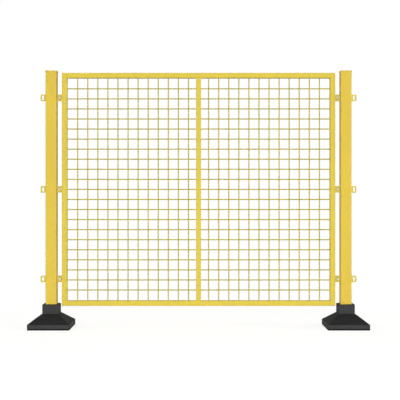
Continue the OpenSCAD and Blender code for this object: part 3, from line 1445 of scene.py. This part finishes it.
@dataclass
class Fasteners:
    """The bolts, washers and nuts that hold the panel to the posts."""

    coat: Finish
    bolt_radius: float = 4 * MM
    thread_pitch: float = 1.25 * MM
    thread_depth: float = 0.6 * MM
    thread_sides: int = 24
    hex_flats: float = 13 * MM
    head_height: float = 5.3 * MM
    head_sink: float = 1 * MM
    washer_play: float = 0.2 * MM
    thread_play: float = 0.05 * MM
    chamfer: float = 1.0 * MM
    edge: float = 0.2 * MM
    round_sides: int = 48
    cut_through: float = 1 * MM

    def build(self) -> None:
        """Builds the left side's fasteners and mounts them with their mirror images."""
        for kind, node, lowest in (
            ("hex_", "bolts", self.bolt()),
            ("hex_", "nuts", self.nut()),
            ("plain_", "washers", self.washer_pair()),
        ):
            mount_pair(stack(lowest, self.heights), kind + node, self.coat, node)

    @property
    def heights(self) -> list[float]:
        """Heights of the three bolts."""
        washers = cad_box("washers_left")
        return ear_heights(washers, washers.size.x)

    def on_axis(self, y: float) -> Vector:
        """The place on the lowest left bolt's axis at this Y."""
        return Vector((cad_box("bolts_left").centre.x, y, self.heights[0]))

    def blank(self, ends: tuple[float, float], radius: float, sides: int) -> Piece:
        """Models a rod on the lowest left bolt's axis, between two places along Y."""
        start = self.on_axis(min(ends))
        return rod(start, max(ends) - min(ends), Axis.Y, radius, sides)

    def hexagon(self, flat_y: float, tip_y: float) -> Piece:
        """Turns a hexagonal blank down at its tip.

        Args:
            flat_y: Where its flat end is.
            tip_y: Where its tip is.

        Returns:
            The hexagon.
        """
        corner = self.hex_flats / 2 / math.cos(math.pi / HEX_SIDES)
        made = self.blank((flat_y, tip_y), corner, HEX_SIDES)
        shoulder_y = tip_y - math.copysign(self.chamfer, tip_y - flat_y)
        turned = self.blank((flat_y, shoulder_y), corner, self.round_sides)
        with editing(turned):
            share = (self.hex_flats - self.chamfer) / 2 / corner
            draw_out(turned, self.on_axis(shoulder_y), tip_y - shoulder_y, share)
        carve(made, turned, "INTERSECT")
        return made

    def drill(self, obj: Piece, ends: tuple[float, float], radius: float, sides: int) -> None:
        """Drills a hole along the bolt's axis and softens the piece.

        Args:
            obj: The piece.
            ends: The Y of its low and its high end.
            radius: The hole's radius.
            sides: Faces round the hole.
        """
        past_ends = (ends[0] - self.cut_through, ends[1] + self.cut_through)
        carve(obj, self.blank(past_ends, radius, sides), "DIFFERENCE")
        soften(obj, self.edge)

    def bolt(self) -> Piece:
        """Models a hexagon bolt that is threaded up to its head.

        Returns:
            The lowest bolt on the left.
        """
        box = cad_box("bolts_left")
        seat = box.low.y + self.head_height
        head = self.hexagon(seat, box.low.y)
        soften(head, self.edge)
        return join([head, self.thread(seat - self.head_sink, box.high.y)])

    def thread(self, start_y: float, end_y: float) -> Piece:
        """Draws a shank out ring by ring, in and out between crest and root.

        Args:
            start_y: Where it starts, inside the head.
            end_y: Where the tip is.

        Returns:
            The shank.
        """
        place = self.on_axis(start_y)
        shank = settle(new_object(
            bpy.ops.mesh.primitive_circle_add, vertices=self.thread_sides,
            radius=self.bolt_radius, fill_type="NGON", location=place, rotation=Axis.Y.turn,
        ))
        half = self.thread_pitch / 2
        root = 1 - self.thread_depth / self.bolt_radius
        turns = int((end_y - place.y) / self.thread_pitch)
        plain = end_y - place.y - turns * self.thread_pitch
        turn, last_turn = [(half, root), (half, 1 / root)], [(half, root), (half, 1.0)]
        with editing(shank):
            for advance, share in [(plain, 1.0)] + turn * (turns - 1) + last_turn:
                place = draw_out(shank, place, advance, share)
            face_outwards(merge=False)
        shade(shank)
        return shank

    def nut(self) -> Piece:
        """Models a hexagon nut with its bore.

        Returns:
            The lowest nut on the left.
        """
        ends = (cad_box("nuts_left").low.y, cad_box("nuts_left").high.y)
        nut = self.hexagon(*ends)
        self.drill(nut, ends, self.bolt_radius + self.thread_play, self.thread_sides)
        return nut

    def washer_pair(self) -> Piece:
        """Models the washer under the head and the one under the nut.

        Returns:
            The lowest pair on the left.
        """
        box, nuts, bolts = (cad_box(name + "_left") for name in ("washers", "nuts", "bolts"))
        thickness = nuts.low.y - cad_box("panel_ears_left").high.y
        made = []
        for y in (bolts.low.y + self.head_height, nuts.low.y - thickness):
            ends = (y, y + thickness)
            washer = self.blank(ends, box.size.x / 2, self.round_sides)
            self.drill(washer, ends, self.bolt_radius + self.washer_play, self.round_sides)
            made.append(washer)
        return join(made)


# ---- Floor, light and camera ----


@dataclass(frozen=True)
class SoftLamp:
    """A wide square lamp, and how brightly it lights what it's turned to."""

    name: str
    place: Vector
    size: float
    level: float

    def hang(self, aim: Vector) -> None:
        """Hangs the lamp out of sight and turns it to the aim.

        Args:
            aim: The point where its light has the wanted level.
        """
        way = aim - self.place
        lamp = new_object(bpy.ops.object.light_add, type="AREA", location=self.place)
        lamp.name = self.name
        lamp.rotation_euler = way.to_track_quat("-Z", "Y").to_euler()
        lamp.data.shape = "SQUARE"
        lamp.data.size = self.size
        lamp.data.energy = self.level * WATTS_PER_LEVEL * way.length_squared
        lamp.visible_camera = False
        lamp.visible_glossy = False


@dataclass
class Studio:
    """A pale floor, plain soft light and the camera at the photograph's place."""

    camera_place: Vector = field(default_factory=lambda: Vector((0.0, -5.7435, 0.7224)))
    lens: float = 94.6
    shift_x: float = 0.0036
    shift_y: float = -0.0125
    wall_light: float = 0.30
    ceiling_light: float = 0.35
    ceiling_start: tuple[float, float] = (0.05, 0.35)
    lamps: Sequence[SoftLamp] = (
        SoftLamp("front_lamp", Vector((0.3, -12.0, 1.2)), 3.0, 0.68),
        SoftLamp("front_left_lamp", Vector((-8.0, -8.0, 0.6)), 3.5, 0.13),
        SoftLamp("front_right_lamp", Vector((8.0, -8.0, 0.6)), 3.5, 0.06),
        SoftLamp("left_lamp", Vector((-9.0, -2.5, 0.6)), 3.5, 0.07),
        SoftLamp("right_lamp", Vector((9.0, -2.5, 0.6)), 3.5, 0.36),
        SoftLamp("rear_lamp", Vector((-2.0, 12.0, 0.6)), 3.0, 0.55),
    )
    aim: Vector = field(default_factory=lambda: Vector((0.0, 0.0, 0.7)))
    floor_size: float = 80.0
    floor_shade: float = 0.50
    floor_glow: float = 0.76
    far_glow: float = 1.0
    floor_reach: tuple[float, float] = (1.6, 4.5)

    def build(self) -> None:
        """Sets the colour view and builds camera, world, lamps and floor."""
        bpy.context.scene.view_settings.view_transform = "Standard"
        self.camera()
        self.world()
        for lamp in self.lamps:
            lamp.hang(self.aim)
        self.floor()

    def camera(self) -> None:
        """Stands a level camera in front of the bay."""
        camera = new_object(bpy.ops.object.camera_add, location=self.camera_place,
                            rotation=Axis.Y.turn)
        camera.data.lens = self.lens
        camera.data.shift_x = self.shift_x
        camera.data.shift_y = self.shift_y
        bpy.context.scene.camera = camera

    @staticmethod
    def seen_directly(sheet: NodeSheet) -> Socket:
        """Finds the rays that come from the camera, a gloss or a glass.

        Args:
            sheet: The nodes of the floor or the world.

        Returns:
            One for these rays, and nought for all others.
        """
        path = sheet.add("LightPath").outputs
        gloss = sheet.maths("MAXIMUM", path["Is Camera Ray"], path["Is Glossy Ray"])
        return sheet.maths("MAXIMUM", gloss, path["Is Transmission Ray"])

    def world(self) -> None:
        """Makes a room with soft walls and a ceiling, which is white where it's looked at."""
        world = bpy.data.worlds.new("soft_room")
        sheet = NodeSheet.fresh(world)
        way = sheet.add("TexCoord").outputs["Generated"]
        height = sheet.add("SeparateXYZ", inputs={0: way}).outputs["Z"]
        lit = sheet.remap(height, self.ceiling_start, (self.wall_light, self.ceiling_light),
                          smooth=True)
        strength = sheet.remap(self.seen_directly(sheet), (0.0, 1.0), (lit, 1.0))
        room = sheet.add("Background", inputs={"Color": WHITE, "Strength": strength})
        sheet.add("OutputWorld", inputs={"Surface": room.outputs[0]})
        bpy.context.scene.world = world

    def floor(self) -> None:
        """Lays a pale floor that keeps the bay's shadow and is white where it's far away."""
        floor = new_object(bpy.ops.mesh.primitive_plane_add, size=self.floor_size,
                           location=(0, 0, 0))
        floor.name = "studio_floor"
        material = bpy.data.materials.new("studio_floor")
        sheet = NodeSheet.fresh(material)
        length = sheet.add("VectorMath", {"operation": "LENGTH"}, {0: sheet.object_place()})
        glows, greys = (self.floor_glow, self.far_glow), (self.floor_shade, 0.0)
        far, grey = (sheet.remap(length.outputs["Value"], self.floor_reach, ends, smooth=True)
                     for ends in (glows, greys))
        glow = sheet.maths("MULTIPLY", self.seen_directly(sheet), far)
        shine = sheet.add("Emission", inputs={"Color": WHITE, "Strength": glow})
        plain = sheet.add("BsdfDiffuse", inputs={"Color": grey})
        both = sheet.add("AddShader", inputs={0: shine.outputs[0], 1: plain.outputs[0]})
        sheet.add("OutputMaterial", inputs={"Surface": both.outputs[0]})
        floor.data.materials.append(material)


def main() -> None:
    """Builds the studio and then the bay, from the floor up."""
    logging.basicConfig(level=logging.INFO, format="%(name)s: %(message)s")
    Studio().build()
    rubber = BlackMoulding("pad_rubber", colour=(0.014,) * 3, specular=0.02)
    Bases(BlackMoulding("base_moulding"), rubber).build()
    Posts(PowderCoat("post_coat"), PowderCoat("cap_coat", colour=(0.775, 0.590, 0.100))).build()
    Ears(PowderCoat("ear_coat", colour=(0.720, 0.595, 0.125))).build()
    PanelFrame(PowderCoat("frame_coat", colour=(0.770, 0.600, 0.080))).build()
    # The wire coat is the frame's yellow made darker and more olive: painted shade for the thin
    # round wires.
    Mesh(PowderCoat("wire_coat", colour=(0.54, 0.465, 0.015))).build()
    Fasteners(ZincPlate("fastener_zinc")).build()


if __name__ == "__main__":
    main()
